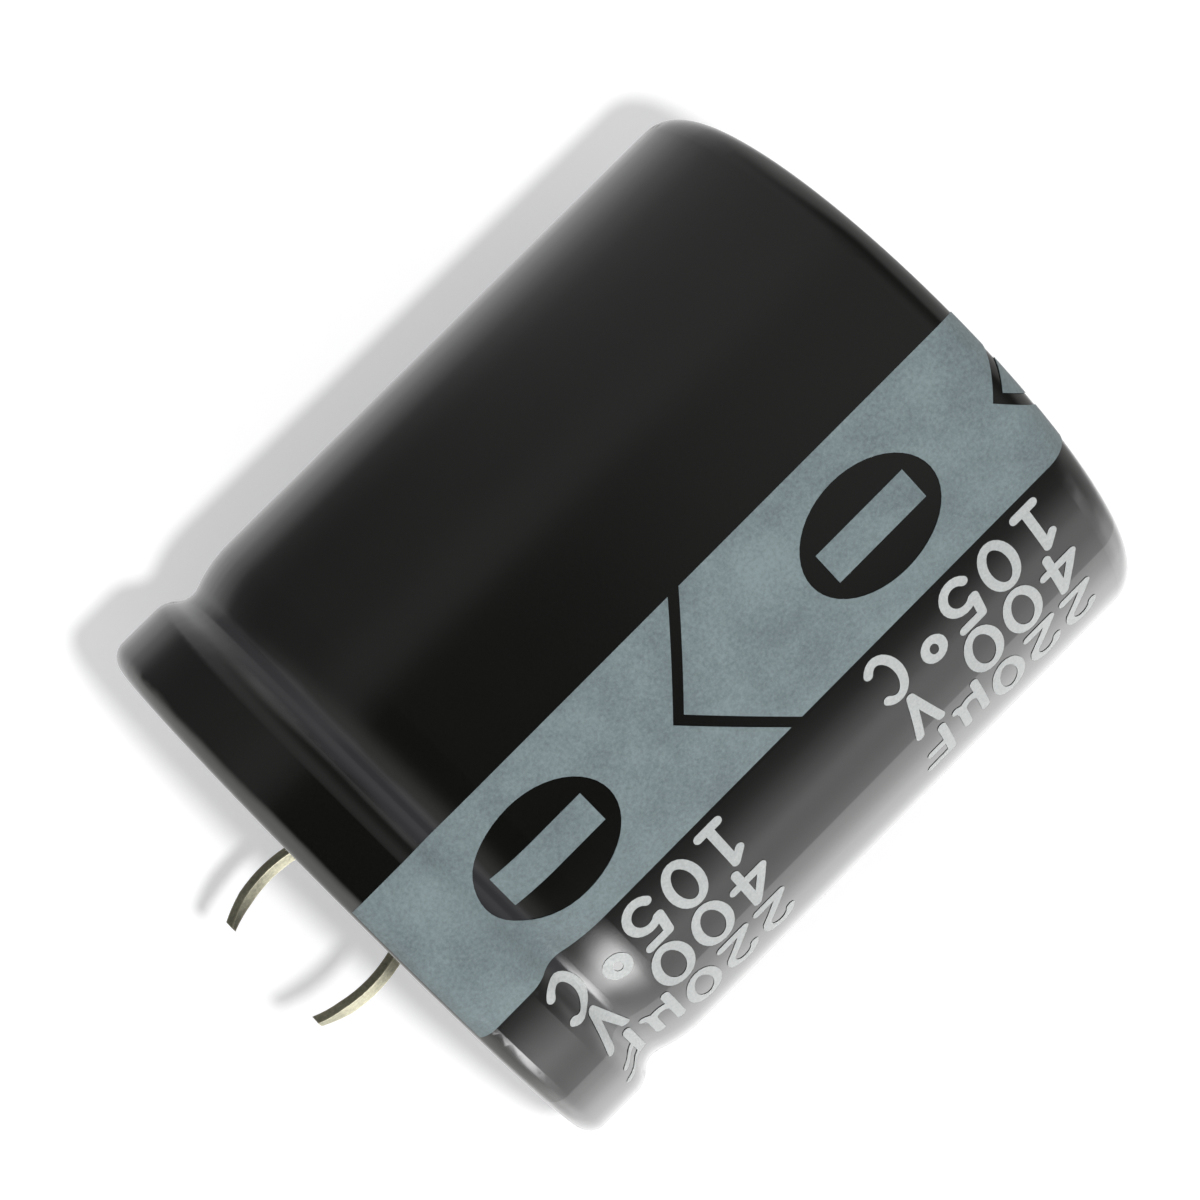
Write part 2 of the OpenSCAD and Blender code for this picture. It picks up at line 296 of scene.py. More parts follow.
def fill_streaks(nodes: Nodes, given: bpy.types.Node, result: bpy.types.Node) -> None:
    """Fills the group for streaks that run along Z, such as creases in shrunk film.

    Args:
        nodes: Nodes of the group.
        given: Group input, with Scale per metre and Stretch along Z.
        result: Group output, with Streaks from 0 to 1.
    """
    place = nodes.add("ShaderNodeTexCoord")
    split = nodes.add("ShaderNodeSeparateXYZ")
    join = nodes.add("ShaderNodeCombineXYZ")
    nodes.link(place.outputs["Object"], split.inputs[0])
    nodes.link(split.outputs["X"], join.inputs["X"])
    nodes.link(split.outputs["Y"], join.inputs["Y"])
    nodes.link(nodes.math("MULTIPLY", split.outputs["Z"], given.outputs["Stretch"]), join.inputs["Z"])
    noise = nodes.add("ShaderNodeTexNoise", in_Detail=2.0, in_Roughness=0.55)
    nodes.link(join.outputs[0], noise.inputs["Vector"])
    nodes.link(given.outputs["Scale"], noise.inputs["Scale"])
    nodes.link(noise.outputs["Fac"], result.inputs["Streaks"])


def fill_wear(nodes: Nodes, given: bpy.types.Node, result: bpy.types.Node) -> None:
    """Fills the group for worn edges.

    Args:
        nodes: Nodes of the group.
        given: Group input, with Radius in metres.
        result: Group output, with Wear from 0 to 1.
    """
    bevel = nodes.add("ShaderNodeBevel", samples=4)
    nodes.link(given.outputs["Radius"], bevel.inputs["Radius"])
    sharp = nodes.add("ShaderNodeNewGeometry")
    across = nodes.add("ShaderNodeVectorMath", operation="DOT_PRODUCT")
    nodes.link(bevel.outputs[0], across.inputs[0])
    nodes.link(sharp.outputs["Normal"], across.inputs[1])
    edge = nodes.math("SUBTRACT", 1.0, across.outputs["Value"])
    wear = nodes.math("MINIMUM", nodes.math("MULTIPLY", edge, WEAR_GAIN), 1.0)
    nodes.link(wear, result.inputs["Wear"])


def fill_painted_highlight(nodes: Nodes, given: bpy.types.Node, result: bpy.types.Node) -> None:
    """Fills the group for painted highlight: a paler ring of colour round the Z axis, with a swaying edge.

    Args:
        nodes: Nodes of the group.
        given: Group input, with Middle, Half Width and Soft Edge in metres.
        result: Group output, with Pale from 0 to 1.
    """
    place = nodes.add("ShaderNodeTexCoord")
    split = nodes.add("ShaderNodeSeparateXYZ")
    nodes.link(place.outputs["Object"], split.inputs[0])
    away = nodes.math("ABSOLUTE", nodes.math("SUBTRACT", split.outputs["Z"], given.outputs["Middle"]))
    noise = nodes.add("ShaderNodeTexNoise", in_Scale=240.0, in_Detail=2.0)
    nodes.link(place.outputs["Object"], noise.inputs["Vector"])
    sway = nodes.math("MULTIPLY", nodes.math("SUBTRACT", noise.outputs["Fac"], 0.5), RING_SWAY)
    over = nodes.math("SUBTRACT", nodes.math("ADD", away, sway), given.outputs["Half Width"])
    share = nodes.add("ShaderNodeMapRange", interpolation_type="SMOOTHSTEP")
    nodes.link(nodes.math("DIVIDE", over, given.outputs["Soft Edge"]), share.inputs["Value"])
    share.inputs["To Min"].default_value = 1.0
    share.inputs["To Max"].default_value = 0.0
    nodes.link(share.outputs[0], result.inputs["Pale"])


class Effect(Enum):
    """Shared shader groups, by name."""

    GRAIN = "surface_grain"
    STREAKS = "lengthwise_streaks"
    WEAR = "edge_wear"
    # Painted highlight: rings of paler colour that stand in for reflections.
    PAINTED_HIGHLIGHT = "painted_highlight_ring"


class EffectLibrary:
    """Makes each shared shader group once and hands it out."""

    def __init__(self) -> None:
        """Makes the groups."""
        number = "NodeSocketFloat"
        self.trees = {
            Effect.GRAIN: effect_group(
                Effect.GRAIN.value, {"Grain Scale": 4000.0, "Blotch Scale": 150.0},
                {"Grain": number, "Blotch": number}, fill_grain),
            Effect.STREAKS: effect_group(
                Effect.STREAKS.value, {"Scale": 500.0, "Stretch": 0.05}, {"Streaks": number}, fill_streaks),
            Effect.WEAR: effect_group(
                Effect.WEAR.value, {"Radius": 0.0002}, {"Wear": number}, fill_wear),
            Effect.PAINTED_HIGHLIGHT: effect_group(
                Effect.PAINTED_HIGHLIGHT.value, {"Middle": 0.0, "Half Width": 0.001, "Soft Edge": 0.0005},
                {"Pale": number}, fill_painted_highlight),
        }

    def use(self, nodes: Nodes, effect: Effect, **values: float) -> bpy.types.Node:
        """Puts a shared group into a material.

        Args:
            nodes: Nodes of the material.
            effect: Which group.
            **values: Values of its inputs, with underscores for spaces.

        Returns:
            The group's node.
        """
        node = nodes.add("ShaderNodeGroup", node_tree=self.trees[effect])
        for name, value in values.items():
            node.inputs[name.replace("_", " ")].default_value = value
        return node


@dataclass(frozen=True)
class PaintedHighlightRing:
    """Ring round the Z axis painted paler than the film as a highlight, with heights in millimetres.

    Attributes:
        colour: Display colour of the painted highlight.
        middle: Height of its middle.
        half: Half of its width.
        soft: Width of its soft edge.
    """

    colour: Colour
    middle: float
    half: float
    soft: float


@dataclass(frozen=True)
class Finish:
    """One surface finish.

    Attributes:
        name: Material name.
        low: Display colour where the grain is dark.
        high: Display colour where the grain is light.
        roughness: Least and most roughness.
        metallic: 1 for bare metal.
        grain: Grain per metre.
        blotch: Blotches per metre.
        bump: Height of the grain in millimetres.
        streaks: Height of lengthwise streaks in millimetres.
        streak_scale: Streaks per metre round the object.
        streak_stretch: Share of that scale along Z.
        wear: Display colour of worn edges, if any.
        painted_highlight_rings: Rings painted paler as highlights, standing in for reflections, if any.
    """

    name: str
    low: Colour
    high: Colour
    roughness: tuple[float, float] = (0.4, 0.5)
    metallic: float = 0.0
    grain: float = 4000.0
    blotch: float = 150.0
    bump: float = 0.004
    streaks: float = 0.0
    streak_scale: float = 500.0
    streak_stretch: float = 0.05
    wear: Colour | None = None
    painted_highlight_rings: tuple[PaintedHighlightRing, ...] = ()

    def make(self, effects: EffectLibrary) -> bpy.types.Material:
        """Builds the material.

        Args:
            effects: Shared groups.

        Returns:
            The material.
        """
        material = bpy.data.materials.new(self.name)
        material.use_nodes = True
        material.node_tree.nodes.clear()
        nodes = Nodes(material.node_tree)
        shader = nodes.add("ShaderNodeBsdfPrincipled", in_Metallic=self.metallic)
        output = nodes.add("ShaderNodeOutputMaterial")
        nodes.link(shader.outputs[0], output.inputs["Surface"])
        grain = effects.use(nodes, Effect.GRAIN, Grain_Scale=self.grain, Blotch_Scale=self.blotch)
        both = nodes.math("ADD", nodes.math("MULTIPLY", grain.outputs["Grain"], GRAIN_SHARE),
                          nodes.math("MULTIPLY", grain.outputs["Blotch"], 1 - GRAIN_SHARE))
        spread = nodes.add("ShaderNodeMapRange")
        spread.inputs["From Min"].default_value = GRAIN_RANGE[0]
        spread.inputs["From Max"].default_value = GRAIN_RANGE[1]
        nodes.link(both, spread.inputs["Value"])
        colour = nodes.mix(spread.outputs[0], srgb(*self.low), srgb(*self.high))
        if self.wear:
            worn = effects.use(nodes, Effect.WEAR)
            colour = nodes.mix(worn.outputs["Wear"], colour, srgb(*self.wear))
        # Painted highlights: rings of paler colour mixed into the base colour
        for ring in self.painted_highlight_rings:
            share = effects.use(nodes, Effect.PAINTED_HIGHLIGHT, Middle=ring.middle * MM,
                                Half_Width=ring.half * MM, Soft_Edge=ring.soft * MM)
            colour = nodes.mix(share.outputs["Pale"], colour, srgb(*ring.colour))
        nodes.link(colour, shader.inputs["Base Color"])
        rough = nodes.add("ShaderNodeMapRange")
        rough.inputs["To Min"].default_value = self.roughness[0]
        rough.inputs["To Max"].default_value = self.roughness[1]
        nodes.link(grain.outputs["Blotch"], rough.inputs["Value"])
        nodes.link(rough.outputs[0], shader.inputs["Roughness"])
        bump = nodes.add("ShaderNodeBump", in_Strength=1.0, in_Distance=self.bump * MM)
        nodes.link(grain.outputs["Grain"], bump.inputs["Height"])
        if self.streaks:
            lines = effects.use(nodes, Effect.STREAKS, Scale=self.streak_scale,
                                Stretch=self.streak_stretch)
            crease = nodes.add("ShaderNodeBump", in_Strength=1.0, in_Distance=self.streaks * MM)
            nodes.link(lines.outputs["Streaks"], crease.inputs["Height"])
            nodes.link(crease.outputs[0], bump.inputs["Normal"])
        nodes.link(bump.outputs[0], shader.inputs["Normal"])
        return material


FINISHES: dict[str, Finish] = {
    "sleeve": Finish("sleeve_film", (8, 8, 7), (14, 14, 12), (0.14, 0.2), grain=9000, blotch=90,
                     bump=0.0015, streaks=0.03, streak_scale=260, streak_stretch=0.03,
                     # Painted highlights: a paler band in the bead's groove and a paler strip at the bottom
                     # rim, standing in for their reflections
                     painted_highlight_rings=(PaintedHighlightRing((44, 44, 46), 5.28, 0.4, 0.52),
                                 PaintedHighlightRing((70, 70, 68), 0.2, 0.2, 0.5))),
    "polarity_band": Finish("band_ink", (94, 105, 108), (121, 135, 137), (0.38, 0.5), grain=5200,
                            blotch=350, bump=0.006),
    "can": Finish("drawn_aluminium", (198, 198, 197), (224, 224, 223), (0.3, 0.38), metallic=1.0,
                  grain=7000, blotch=260, bump=0.003, wear=(240, 240, 239)),
    "rubber_seal": Finish("seal_rubber", (19, 19, 18), (44, 44, 41), (0.5, 0.75), grain=4500,
                          blotch=420, bump=0.012),
    "phenolic_plate": Finish("phenolic", (96, 58, 32), (124, 78, 44), (0.4, 0.55), grain=2500,
                             bump=0.004),
    "terminal": Finish("tinned_metal", (112, 110, 96), (158, 156, 136), (0.34, 0.5), metallic=1.0,
                       grain=5000, blotch=700, bump=0.004, streaks=0.006, streak_scale=5000,
                       wear=(186, 182, 160)),
    "rivet": Finish("rivet_aluminium", (188, 189, 190), (220, 220, 220), (0.3, 0.42), metallic=1.0,
                    grain=6000, blotch=900, bump=0.005, wear=(236, 236, 236)),
    "lead_tab": Finish("tab_foil", (176, 178, 182), (206, 208, 210), (0.3, 0.4), metallic=1.0,
                       grain=5000, bump=0.002, streaks=0.003, streak_scale=4000),
    "winding": Finish("foil_and_paper", (160, 142, 100), (206, 194, 160), (0.55, 0.7), grain=3500,
                      bump=0.01, streaks=0.01, streak_scale=1500),
    "winding_tape": Finish("tape_film", (186, 150, 58), (214, 182, 84), (0.25, 0.35), grain=3000,
                           bump=0.002),
    "lettering": Finish("letter_ink", (160, 164, 163), (190, 193, 191), (0.4, 0.5), grain=7000,
                        bump=0.004),
}


class CadFrame:
    """The carried-over CAD nodes and their finishes."""

    WORDS = {"terminal": "terminal", "rivet": "rivet", "washer": "rivet", "lead_tab": "lead_tab"}

    def __init__(self, nodes: dict[str, bpy.types.Object], effects: EffectLibrary) -> None:
        """Keeps the nodes.

        Args:
            nodes: CAD objects by node name.
            effects: Shared groups.
        """
        self.nodes = nodes
        self.materials = {name: finish.make(effects) for name, finish in FINISHES.items()}

    def finish_of(self, node: str) -> str:
        """Finds the finish of a node.

        Args:
            node: CAD node name.

        Returns:
            Key in FINISHES.
        """
        for word, finish in self.WORDS.items():
            if node.startswith(word):
                return finish
        return node

    def dress(self) -> None:
        """Gives every CAD node its material."""
        for name, piece in self.nodes.items():
            material = self.materials[self.finish_of(name)]
            for place in piece.material_slots:
                place.material = material
            if not piece.material_slots:
                piece.data.materials.append(material)
            LOG.info("dressed %s with %s", name, material.name)


def arc(middle: Point, size: Point, start: float, end: float, steps: int) -> list[Point]:
    """Samples part of an oval.

    Args:
        middle: Centre.
        size: Half width and half height.
        start: First angle in degrees.
        end: Last angle in degrees.
        steps: Number of stretches.

    Returns:
        Points along the arc.
    """
    turns = [math.radians(start + (end - start) * i / steps) for i in range(steps + 1)]
    return [(middle[0] + size[0] * math.cos(t), middle[1] + size[1] * math.sin(t)) for t in turns]


# Strokes of each sign, in a cell one wide and one high
SIGNS: dict[str, list[list[Point]]] = {
    "0": [arc((0.5, 0.5), (0.42, 0.5), 90, 450, 28)],
    "1": [[(0.22, 0.8), (0.52, 1.0), (0.52, 0.0)], [(0.2, 0.0), (0.84, 0.0)]],
    "2": [arc((0.5, 0.7), (0.4, 0.3), 170, -25, 12) + [(0.08, 0.0), (0.92, 0.0)]],
    "4": [[(0.68, 0.0), (0.68, 1.0), (0.06, 0.3), (0.96, 0.3)]],
    "5": [[(0.86, 1.0), (0.22, 1.0), (0.14, 0.56)] + arc((0.48, 0.32), (0.42, 0.32), 130, -145, 18)],
    "C": [arc((0.52, 0.5), (0.42, 0.5), 48, 312, 22)],
    "F": [[(0.14, 0.0), (0.14, 1.0), (0.9, 1.0)], [(0.14, 0.52), (0.74, 0.52)]],
    "V": [[(0.16, 1.0), (0.5, 0.0), (0.84, 1.0)]],
    "°": [arc((0.42, 0.78), (0.26, 0.215), 90, 450, 20)],
    "µ": [[(0.12, -0.28), (0.12, 0.7)],
          arc((0.44, 0.2), (0.32, 0.2), 180, 360, 12) + [(0.76, 0.7)],
          [(0.76, 0.2), (0.8, 0.04), (0.92, 0.0)]],
}


@dataclass(frozen=True)
class TextRow:
    """One row of printed signs that reads down the can.

    Attributes:
        text: The signs. A space leaves a cell out.
        turn: Angle of the baseline from the camera's side, in degrees.
        first_z: Height of the first sign's middle, in millimetres.
        pitch: Distance from one sign to the next, in millimetres.
        cell: Width and height of a sign, in millimetres.
        gap: Pitch left where a space stands, as a share of the whole.
    """

    text: str
    turn: float
    first_z: float
    pitch: float
    cell: Point
    gap: float = 0.62


@dataclass(frozen=True)
class LetteringSize:
    """Sizes of the lettering, in millimetres.

    Attributes:
        line: Width of a stroke.
        height: Height of the ink above the sleeve.
        repeat: Distance between the two copies of each row.
        step: Longest stretch of a stroke between two points on the sleeve.
    """

    line: float = 0.54
    height: float = 0.025
    repeat: float = 22.2
    step: float = 0.25


class SleeveSurface:
    """Outside of the CAD sleeve, which print follows."""

    def __init__(self, sleeve: bpy.types.Object) -> None:
        """Keeps a search tree of the sleeve's faces.

        Args:
            sleeve: CAD sleeve.
        """
        data = sleeve.data
        points = [sleeve.matrix_world @ corner.co for corner in data.vertices]
        self.tree = BVHTree.FromPolygons(points, [tuple(face.vertices) for face in data.polygons])

    def point(self, turn: float, level: float, height: float) -> Vector:
        """Finds a point above the sleeve's surface.

        Args:
            turn: Angle from the camera's side, in degrees.
            level: Height above the board, in millimetres.
            height: Distance out from the surface, in millimetres.

        Returns:
            The point in metres.
        """
        way = CAN.direction(turn)
        start = way * 2 * CAN.radius * MM + Vector((0, 0, level * MM))
        place, normal, _, _ = self.tree.ray_cast(start, -way)
        if place is None:
            raise ValueError(f"no sleeve at {turn:.1f} degrees, {level:.1f} mm")
        outward = normal if normal.dot(way) > 0 else -normal
        return place + outward * height * MM


class Lettering:
    """Plain ratings printed in strokes on the sleeve, twice along the can.

    Strokes lie in turn on a few layers, a hair apart, so that none hides in another where they cross.
    """

    CORNER = math.radians(32)
    CAP_STEPS = 8
    LAYERS = 3
    LAYER = 0.002
    SAME = 1e-6
    LEAST_COSINE = 0.5
    ROWS = (
        TextRow("105°C", 34.6, 37.35, 2.66, (2.05, 2.85)),
        TextRow("400 V", 46.0, 37.2, 2.8, (2.2, 3.0)),
        TextRow("220µF", 58.6, 37.2, 2.6, (2.0, 3.0)),
    )

    def __init__(self, size: LetteringSize, surface: SleeveSurface,
                 material: bpy.types.Material) -> None:
        """Keeps the sizes.

        Args:
            size: Sizes of the print.
            surface: What it is printed on.
            material: Ink.
        """
        self.size = size
        self.surface = surface
        self.material = material
        self.mesh = bmesh.new()
        self.lift = 0

    def wrap(self, out: float, down: float, row: TextRow, start_z: float) -> Vector:
        """Puts a flat point onto the sleeve.

        Args:
            out: Distance up the sign, in millimetres.
            down: Distance along the row, in millimetres.
            row: Row of text.
            start_z: Height of the row's start, in millimetres.

        Returns:
            The point in metres.
        """
        turn = row.turn + math.degrees(out / CAN.radius)
        return self.surface.point(turn, start_z - down, self.size.height + self.lift * self.LAYER)

    @staticmethod
    def parts(points: list[Point]) -> list[list[Point]]:
        """Splits a stroke at its sharp corners, where the round ends of its parts then meet.

        Args:
            points: Flat points of the stroke.

        Returns:
            Strokes without a sharp corner.
        """
        cuts = [0]
        for i in range(1, len(points) - 1):
            before = Vector(points[i]) - Vector(points[i - 1])
            after = Vector(points[i + 1]) - Vector(points[i])
            if before.angle(after, 0.0) > Lettering.CORNER:
                cuts.append(i)
        cuts.append(len(points) - 1)
        return [points[a:b + 1] for a, b in zip(cuts, cuts[1:])]

    def refined(self, points: list[Point]) -> list[Point]:
        """Adds points to a stroke, so that it can follow the sleeve.

        Args:
            points: Flat points of the stroke.

        Returns:
            The points with others between them.
        """
        fine = [points[0]]
        for end in points[1:]:
            start = fine[-1]
            count = max(1, math.ceil(math.dist(start, end) / self.size.step))
            fine += [(start[0] + (end[0] - start[0]) * i / count,
                      start[1] + (end[1] - start[1]) * i / count) for i in range(1, count + 1)]
        return fine

    def sides(self, fine: list[Point], closed: bool) -> list[tuple[Point, Vector, Vector]]:
        """Finds which way a stroke runs at each of its points, and how wide it is there.

        Args:
            fine: Flat points of the stroke.
            closed: Whether it ends where it starts.

        Returns:
            Each point with the vector to its side and its direction.
        """
        found = []
        for i, here in enumerate(fine):
            before = fine[i - 1] if i else (fine[-2] if closed else here)
            after = fine[i + 1] if i + 1 < len(fine) else (fine[1] if closed else here)
            first = Vector((here[0] - before[0], here[1] - before[1]))
            second = Vector((after[0] - here[0], after[1] - here[1]))
            straight = second.normalized() if second.length else first.normalized()
            along = (first.normalized() if first.length else second.normalized()) + straight
            along.normalize()
            reach = self.size.line / 2 / max(self.LEAST_COSINE, along.dot(straight))
            found.append((here, Vector((-along.y, along.x)) * reach, along))
        return found

    def cap(self, side: tuple[Point, Vector, Vector], rib: tuple, sign: int, row: TextRow,
            start_z: float) -> None:
        """Rounds one end of a stroke.

        Args:
            side: Point, vector to its side and direction at the end.
            rib: Vertices across the stroke there.
            sign: 1 at the last point, -1 at the first.
            row: Row of text.
            start_z: Height of the row's start, in millimetres.
        """
        point, across, along = side
        half = self.size.line / 2
        turns = [math.radians(90 - 180 * i / self.CAP_STEPS) for i in range(1, self.CAP_STEPS)]
        curve = [self.mesh.verts.new(self.wrap(
            point[1] + across.y * math.sin(t) + sign * along.y * half * math.cos(t),
            point[0] + across.x * math.sin(t) + sign * along.x * half * math.cos(t), row, start_z))
            for t in turns]
        outline = [rib[0], *curve, rib[2]]
        for first_corner, second_corner in zip(outline, outline[1:]):
            self.mesh.faces.new((rib[1], first_corner, second_corner))

    def stroke(self, points: list[Point], row: TextRow, start_z: float) -> None:
        """Lays one stroke of even width with round ends.

        Args:
            points: Flat points along the row and up the sign, in millimetres.
            row: Row of text.
            start_z: Height of the row's start, in millimetres.
        """
        closed = math.dist(points[0], points[-1]) < self.SAME
        sides = self.sides(self.refined(points), closed)
        ribs = [tuple(self.mesh.verts.new(self.wrap(p[1] + s * a.y, p[0] + s * a.x, row, start_z))
                      for s in (1, 0, -1)) for p, a, _ in sides]
        for here, there in zip(ribs, ribs[1:]):
            for side in (0, 1):
                self.mesh.faces.new((here[side], here[side + 1], there[side + 1], there[side]))
        if not closed:
            for index, sign in ((0, -1), (-1, 1)):
                self.cap(sides[index], ribs[index], sign, row, start_z)
        self.lift = (self.lift + 1) % self.LAYERS

    def build(self) -> None:
        """Lays all rows and makes the piece."""
        for row in self.ROWS:
            for copy in range(2):
                start = row.first_z - copy * self.size.repeat
                place = 0.0
                for sign in row.text:
                    if sign == " ":
                        place += row.pitch * row.gap
                        continue
                    for points in SIGNS[sign]:
                        flat = [(place + (x - 0.5) * row.cell[0], y * row.cell[1]) for x, y in points]
                        for part in self.parts(flat):
                            self.stroke(part, row, start)
                    place += row.pitch
        data = bpy.data.meshes.new("ratings_print")
        bmesh.ops.recalc_face_normals(self.mesh, faces=self.mesh.faces)
        self.mesh.to_mesh(data)
        self.mesh.free()
        for face in data.polygons:
            middle = face.center
            if face.normal.dot(Vector((middle.x, middle.y, 0.0))) < 0:
                face.flip()
        data.materials.append(self.material)
        piece = bpy.data.objects.new("ratings_print", data)
        bpy.context.collection.objects.link(piece)
        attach(piece, "root")
        LOG.info("lettering: %d faces", len(data.polygons))


@dataclass(frozen=True)
class StudioSize:
    """Places of the stage and the camera, in metres.

    Attributes:
        distance: Distance of the camera from the can's axis.
        level: Height of the camera above the board plane.
        lens: Focal length in millimetres.
        roll: Angle by which the can leans to the right in the picture, in degrees.
        aim: Height on the can's axis that the camera looks at.
        aside: Distance of that point to the picture's right of the axis, before the roll.
        table: Distance of the backdrop behind the axis.
        middle: Height of the backdrop's middle.
        spread: Half width of the backdrop.
        key_aside: Distance of the key light to the right of the camera.
        key_above: Height of the key light above the camera.
        key_radius: Radius of the key light.
        key_power: Power of the key light in watts.
    """

    distance: float = 0.1835
    level: float = 0.0065
    lens: float = 103.5
    roll: float = 45.0
    aim: float = 0.0205
    aside: float = -0.00175
    table: float = 0.0182
    middle: float = 0.02
    spread: float = 0.6
    key_aside: float = 0.0225
    key_above: float = 0.0085
    key_radius: float = 0.0045
    key_power: float = 0.87


@dataclass(frozen=True)
class TentShape:
    """Light tent round the object, as reflections see it.

    A place round the can is 0.5 on the camera's side, and more to the right of its picture. A height
    is the sine of the angle above the horizon. A span holds where a soft step starts and ends.

    Attributes:
        low: Places and brightnesses round the can, near the horizon and below it.
        high: Places and brightnesses round the can, above the seam.
        seam: Heights over which low turns into high.
        gain: What the brightnesses are multiplied by.
        glint_start: Places over which the bright corner starts.
        glint_end: Places over which the bright corner ends.
        glint_top: Heights over which the bright corner sets in, downwards.
        glint_pivot: Place from which its lower edge slants.
        glint_slope: Slant of its lower edge.
        glint_slant: Slanted heights over which its lower edge runs.
        glint_power: Brightness that the corner adds.
        roof: Heights over which the dim roof sets in.
        roof_light: Light of the roof.
        rear: Distances ahead over which the rear window sets in, backwards.
        rear_rise: Heights over which the rear window sets in.
        zenith: Heights over which the window straight above sets in.
        window_light: Light of these two windows.
        ground: Heights over which the light from below sets in, downwards.
        ground_light: Light from below.
        matt_light: Light on matt surfaces.
        seen: What the camera sees.
    """

    low: Stops = (
        (0.0, 0.085), (0.11, 0.07), (0.14, 0.05), (0.165, 0.018), (0.2, 0.016), (0.3, 0.023),
        (0.355, 0.034), (0.375, 0.03), (0.4, 0.004), (0.6, 0.002), (0.69, 0.012), (0.71, 0.03),
        (0.735, 0.1), (0.76, 0.2), (0.785, 0.15), (0.8, 0.15), (0.83, 0.24), (0.87, 0.27),
        (0.91, 0.2), (0.955, 0.17), (1.0, 0.1))
    high: Stops = (
        (0.0, 0.09), (0.12, 0.08), (0.17, 0.065), (0.21, 0.05), (0.3, 0.05), (0.37, 0.05),
        (0.42, 0.042), (0.5, 0.042), (0.6, 0.04), (0.69, 0.022), (0.71, 0.03), (0.735, 0.1),
        (0.76, 0.2), (0.785, 0.16), (0.8, 0.17), (0.83, 0.26), (0.87, 0.27), (0.91, 0.2),
        (0.955, 0.17), (1.0, 0.1))
    seam: Span = (0.06, 0.15)
    gain: float = 10.0
    glint_start: Span = (0.685, 0.735)
    glint_end: Span = (0.8, 0.74)
    glint_top: Span = (-0.062, -0.11)
    glint_pivot: float = 0.7
    glint_slope: float = 3.5
    glint_slant: Span = (-0.42, -0.12)
    glint_power: float = 13.0
    roof: Span = (0.35, 0.85)
    roof_light: Light = (0.12, 0.12, 0.12, 1.0)
    rear: Span = (0.3, -0.1)
    rear_rise: Span = (0.5, 0.8)
    zenith: Span = (0.88, 0.98)
    window_light: Light = (0.72, 0.72, 0.71, 1.0)
    ground: Span = (-0.32, -0.7)
    ground_light: Light = (0.9, 0.9, 0.88, 1.0)
    matt_light: Light = (0.55, 0.55, 0.56, 1.0)
    seen: Light = (1.0, 1.0, 1.0, 1.0)


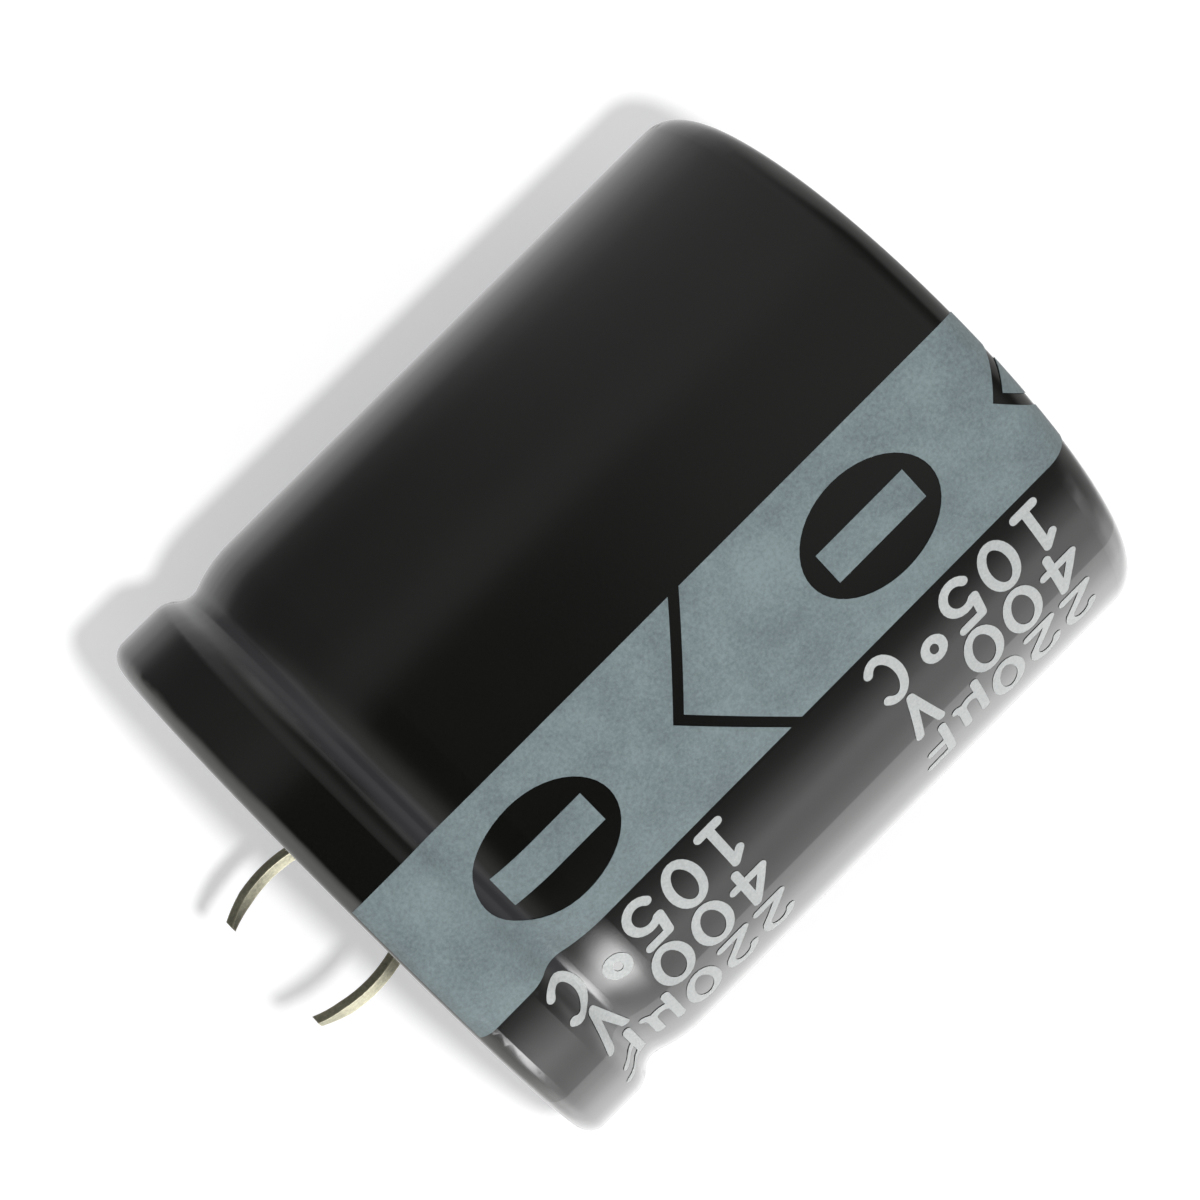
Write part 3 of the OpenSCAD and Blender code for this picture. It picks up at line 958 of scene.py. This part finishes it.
class Studio:
    """Backdrop, lights, world and camera."""

    SHEET = ((0.78, 0.78, 0.78, 1.0), (0.8, 0.8, 0.8, 1.0))

    def __init__(self, size: StudioSize, tent: TentShape) -> None:
        """Keeps the sizes.

        Args:
            size: Places of the stage and the camera.
            tent: Shape of the light tent.
        """
        self.size = size
        self.tent = tent
        self.front = CAN.direction(0)
        self.right = CAN.direction(90)

    def build(self) -> None:
        """Makes everything that isn't the object."""
        self.backdrop()
        self.world()
        self.lights()
        self.camera()

    def backdrop(self) -> None:
        """Makes the pale sheet that the can lies on in the photo, seen through from behind."""
        data = bpy.data.meshes.new("backdrop")
        half = self.size.spread
        centre = -self.front * self.size.table + Vector((0, 0, self.size.middle))
        corners = [centre + self.right * half * x + Vector((0, 0, half * z))
                   for x, z in ((-1, -1), (1, -1), (1, 1), (-1, 1))]
        data.from_pydata(corners, [], [(0, 1, 2, 3)])
        piece = bpy.data.objects.new("backdrop", data)
        bpy.context.collection.objects.link(piece)
        data.materials.append(self.sheet_material())
        LOG.info("backdrop: %.2f m wide", 2 * half)

    def sheet_material(self) -> bpy.types.Material:
        """Makes the sheet's material: white to the camera but for its shadow, clear to reflections.

        Returns:
            The material.
        """
        material = bpy.data.materials.new("pale_sheet")
        material.use_nodes = True
        material.node_tree.nodes.clear()
        nodes = Nodes(material.node_tree)
        path = nodes.add("ShaderNodeLightPath")
        face = nodes.add("ShaderNodeNewGeometry")
        place = nodes.add("ShaderNodeTexCoord")
        noise = nodes.add("ShaderNodeTexNoise", in_Scale=900.0)
        nodes.link(place.outputs["Object"], noise.inputs["Vector"])
        matt = nodes.add("ShaderNodeBsdfDiffuse")
        nodes.link(nodes.mix(noise.outputs["Fac"], *self.SHEET), matt.inputs["Color"])
        glow = nodes.add("ShaderNodeEmission", in_Strength=0.3)
        both = nodes.add("ShaderNodeAddShader")
        nodes.link(matt.outputs[0], both.inputs[0])
        nodes.link(glow.outputs[0], both.inputs[1])
        seen = nodes.add("ShaderNodeMixShader")
        nodes.link(path.outputs["Is Camera Ray"], seen.inputs[0])
        nodes.link(matt.outputs[0], seen.inputs[1])
        nodes.link(both.outputs[0], seen.inputs[2])
        clear = nodes.add("ShaderNodeBsdfTransparent")
        through = nodes.add("ShaderNodeMixShader")
        nodes.link(nodes.math("MAXIMUM", path.outputs["Is Glossy Ray"], face.outputs["Backfacing"]),
                   through.inputs[0])
        nodes.link(seen.outputs[0], through.inputs[1])
        nodes.link(clear.outputs[0], through.inputs[2])
        output = nodes.add("ShaderNodeOutputMaterial")
        nodes.link(through.outputs[0], output.inputs["Surface"])
        return material

    def world(self) -> None:
        """Makes the light tent: white to the camera, soft to matt surfaces, shaped for reflections."""
        world = bpy.data.worlds.new("light_tent")
        bpy.context.scene.world = world
        world.use_nodes = True
        world.node_tree.nodes.clear()
        nodes = Nodes(world.node_tree)
        place = nodes.add("ShaderNodeTexCoord")
        way = place.outputs["Generated"]
        ahead = nodes.dot(way, self.front)
        beside = nodes.dot(way, self.right)
        above = nodes.dot(way, (0, 0, 1))
        turn = nodes.math("DIVIDE", nodes.math("ARCTAN2", beside, ahead), 2 * math.pi)
        turn = nodes.math("ADD", turn, 0.5)
        shape = self.tent
        low = nodes.ramp(turn, shape.low)
        high = nodes.ramp(turn, shape.high)
        level = nodes.mix(nodes.step(above, *shape.seam), low, high)
        tent = nodes.math("MULTIPLY", level, shape.gain)
        glint = nodes.math("MULTIPLY", nodes.step(turn, *shape.glint_start),
                           nodes.step(turn, *shape.glint_end))
        glint = nodes.math("MULTIPLY", glint, nodes.step(above, *shape.glint_top))
        beyond = nodes.math("SUBTRACT", turn, shape.glint_pivot)
        slant = nodes.math("ADD", above, nodes.math("MULTIPLY", beyond, shape.glint_slope))
        glint = nodes.math("MULTIPLY", glint, nodes.step(slant, *shape.glint_slant))
        tent = nodes.math("ADD", tent, nodes.math("MULTIPLY", glint, shape.glint_power))
        shaped = nodes.mix(nodes.step(above, *shape.roof), tent, shape.roof_light)
        window = nodes.math("MULTIPLY", nodes.step(ahead, *shape.rear),
                            nodes.step(above, *shape.rear_rise))
        window = nodes.math("MAXIMUM", window, nodes.step(above, *shape.zenith))
        shaped = nodes.mix(window, shaped, shape.window_light)
        shaped = nodes.mix(nodes.step(above, *shape.ground), shaped, shape.ground_light)
        path = nodes.add("ShaderNodeLightPath")
        soft = nodes.mix(path.outputs["Is Glossy Ray"], shape.matt_light, shaped)
        seen = nodes.mix(path.outputs["Is Camera Ray"], soft, shape.seen)
        glow = nodes.add("ShaderNodeBackground")
        nodes.link(seen, glow.inputs["Color"])
        output = nodes.add("ShaderNodeOutputWorld")
        nodes.link(glow.outputs[0], output.inputs["Surface"])

    def lights(self) -> None:
        """Adds the key light, which reflections don't show."""
        data = bpy.data.lights.new("key", "POINT")
        data.energy = self.size.key_power
        data.shadow_soft_size = self.size.key_radius
        lamp = bpy.data.objects.new("key", data)
        bpy.context.collection.objects.link(lamp)
        lamp.location = (self.front * self.size.distance + self.right * self.size.key_aside
                         + Vector((0, 0, self.size.level + self.size.key_above)))
        lamp.visible_glossy = False
        LOG.info("key light: %.2f W", data.energy)

    def camera(self) -> None:
        """Adds the camera, rolled so that the can leans as it does in the photo."""
        data = bpy.data.cameras.new("photo_camera")
        data.lens = self.size.lens
        data.sensor_width = 36.0
        data.clip_start = 0.01
        eye = self.front * self.size.distance + Vector((0, 0, self.size.level))
        target = self.right * self.size.aside + Vector((0, 0, self.size.aim))
        back = (eye - target).normalized()
        level = Vector((0, 0, 1)).cross(back).normalized()
        upright = back.cross(level)
        roll = math.radians(self.size.roll)
        side = level * math.cos(roll) + upright * math.sin(roll)
        rise = upright * math.cos(roll) - level * math.sin(roll)
        camera = bpy.data.objects.new("photo_camera", data)
        bpy.context.collection.objects.link(camera)
        camera.matrix_world = Matrix((
            (side.x, rise.x, back.x, eye.x),
            (side.y, rise.y, back.y, eye.y),
            (side.z, rise.z, back.z, eye.z),
            (0, 0, 0, 1)))
        bpy.context.scene.camera = camera
        LOG.info("camera: %.0f mm lens at %.0f mm", data.lens, self.size.distance / MM)


@dataclass
class Capacitor:
    """The whole object: CAD nodes with their finishes, and what is printed on them.

    Attributes:
        effects: Shared shader groups.
    """

    frame: dict
    effects: EffectLibrary = field(default_factory=EffectLibrary)

    def build(self) -> None:
        """Dresses the CAD nodes and adds the lettering."""
        cad = CadFrame(self.frame["nodes"], self.effects)
        cad.dress()
        surface = SleeveSurface(cad.nodes["sleeve"])
        Lettering(LetteringSize(), surface, cad.materials["lettering"]).build()


def main() -> None:
    """Builds the object, then the studio, in order."""
    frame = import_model()
    Capacitor(frame).build()
    Studio(StudioSize(), TentShape()).build()
    bpy.context.scene.view_settings.view_transform = "Standard"


if __name__ == "__main__":
    logging.basicConfig(level=logging.INFO)
    main()
